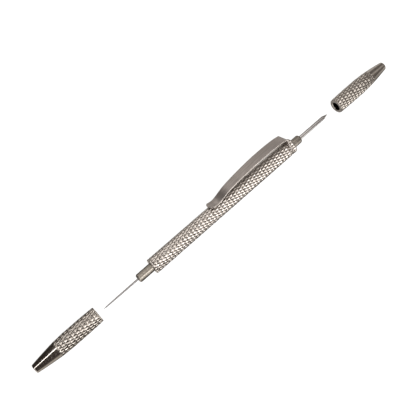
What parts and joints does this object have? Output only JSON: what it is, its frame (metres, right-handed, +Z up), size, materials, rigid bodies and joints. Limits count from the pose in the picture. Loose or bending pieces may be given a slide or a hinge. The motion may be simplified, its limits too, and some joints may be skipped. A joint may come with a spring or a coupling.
{
  "type": "double-ended pocket scriber",
  "caption": "Knurled pocket scriber with a fine needle and a stout point under pull-off caps, and a spring pocket clip.",
  "frame": {"origin": "on the surface that the tool lies on, at the middle of its length and of its width", "axes": "+X along the tool towards the fine needle, +Z up, with the tool rolled over towards -Y until the pocket clip touches the surface beside it"},
  "size_m": [0.2126, 0.0118, 0.0076],
  "materials": {
    "nickel_plate": "bright nickel plate, warm grey",
    "hardened_steel": "ground and polished",
    "spring_steel": "satin nickel plate with a fine lengthwise grain",
    "brass": "turned"
  },
  "bodies": {
    "body": {"barrel": "nickel_plate", "front_plug": "nickel_plate", "rear_plug": "nickel_plate", "fine_needle": "hardened_steel", "needle_ferrule": "brass", "stout_point": "hardened_steel", "clip_eye": "spring_steel"},
    "clip": {"clip_arm": "spring_steel"},
    "front_cap": {"front_cap": "nickel_plate"},
    "rear_cap": {"rear_cap": "nickel_plate"}
  },
  "joints": [
    {"name": "front_cap_slide", "type": "slide", "parent": "body", "child": "front_cap", "axis": [-1, 0, 0], "range_m": [0, 0.03]},
    {"name": "rear_cap_slide", "type": "slide", "parent": "body", "child": "rear_cap", "axis": [1, 0, 0], "range_m": [0, 0.03]},
    {"name": "clip_flex", "type": "hinge", "parent": "body", "child": "clip", "pos_m": [-0.0401, -0.0041, 0.00327], "axis": [0, 0.0818, -0.9966], "range_deg": [0, 4], "stiffness_Nm_per_rad": 1.2}
  ]
}
